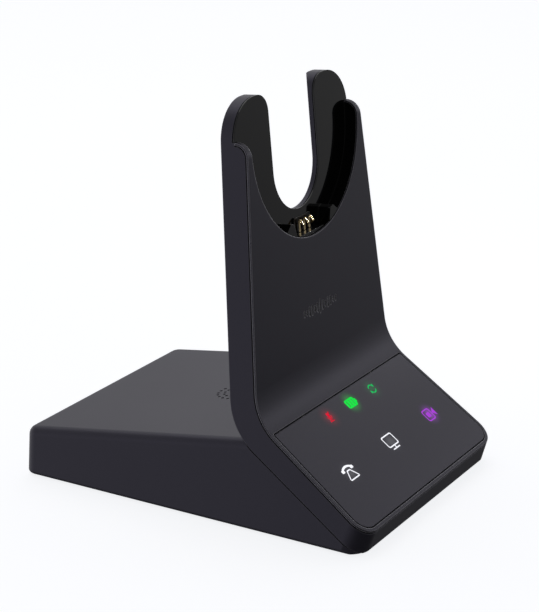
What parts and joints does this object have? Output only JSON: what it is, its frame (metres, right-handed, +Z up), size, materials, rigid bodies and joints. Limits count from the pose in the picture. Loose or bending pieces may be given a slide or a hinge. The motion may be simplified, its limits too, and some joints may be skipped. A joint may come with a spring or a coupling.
{
  "type": "headset charging base",
  "caption": "Desk charging base for a wireless office headset: sloping lit touch panel, forked upright cradle with sprung contacts, and a low wedge housing with rear sockets.",
  "frame": {"origin": "centre of the footprint, on the desk under the rubber feet", "axes": "+Z up from the desk, -Y towards the user, who faces the touch panel, +X to the user's right"},
  "size_m": [0.0918, 0.1264, 0.1299],
  "materials": {
    "dark_plastic": "fine matte texture",
    "cover_plastic": "fine matte texture",
    "panel_plastic": "satin",
    "black_gloss": "high gloss",
    "black_plastic": "matte",
    "clear_plastic": "frosted",
    "white_lens": "lit from behind",
    "violet_lens": "lit from behind",
    "red_lens": "lit from behind",
    "green_lens": "lit from behind",
    "gilt_contact": "gold plated",
    "board": "solder mask",
    "ribbon": "satin film",
    "plated_steel": "zinc plated",
    "socket_steel": "nickel plated",
    "ballast_steel": "black oxide",
    "foam": "soft foam",
    "rubber": "matte rubber",
    "label": "satin film"
  },
  "bodies": {
    "base": {"aerials": "plated_steel", "ballast_pad": "foam", "ballast_plate": "ballast_steel", "base_housing": "dark_plastic", "battery_lamp_window": "green_lens", "blank_label": "label", "board_components": "black_plastic", "board_screws": "plated_steel", "bottom_cover": "dark_plastic", "call_lamp_window": "green_lens", "case_screws": "plated_steel", "contact_block": "black_plastic", "contact_board": "board", "contact_cable": "ribbon", "cover_screws": "plated_steel", "cradle_insert": "black_gloss", "desk_phone_socket": "black_plastic", "front_cover": "cover_plastic", "handset_socket": "black_plastic", "jack_contacts": "gilt_contact", "key_window_violet": "violet_lens", "key_windows_white": "white_lens", "light_guide": "clear_plastic", "main_board": "board", "mute_lamp_window": "red_lens", "neck_screws": "plated_steel", "panel_leds": "white_lens", "power_socket": "black_plastic", "rear_shell": "dark_plastic", "ringer": "black_plastic", "ringer_gasket": "foam", "rubber_feet": "rubber", "shield_can": "plated_steel", "sound_wave_inlay": "black_gloss", "touch_board": "board", "touch_cable": "ribbon", "touch_panel": "panel_plastic", "usb_socket": "socket_steel"},
    "contact_left": {"charge_contact_left": "gilt_contact"},
    "contact_centre": {"charge_contact_centre": "gilt_contact"},
    "contact_right": {"charge_contact_right": "gilt_contact"}
  },
  "joints": [
    {"name": "contact_left_press", "type": "slide", "parent": "base", "child": "contact_left", "axis": [0, -0.0948, -0.9955], "range_m": [0, 0.0009], "stiffness_N_per_m": 300},
    {"name": "contact_centre_press", "type": "slide", "parent": "base", "child": "contact_centre", "axis": [0, -0.0948, -0.9955], "range_m": [0, 0.0009], "stiffness_N_per_m": 300},
    {"name": "contact_right_press", "type": "slide", "parent": "base", "child": "contact_right", "axis": [0, -0.0948, -0.9955], "range_m": [0, 0.0009], "stiffness_N_per_m": 300}
  ]
}
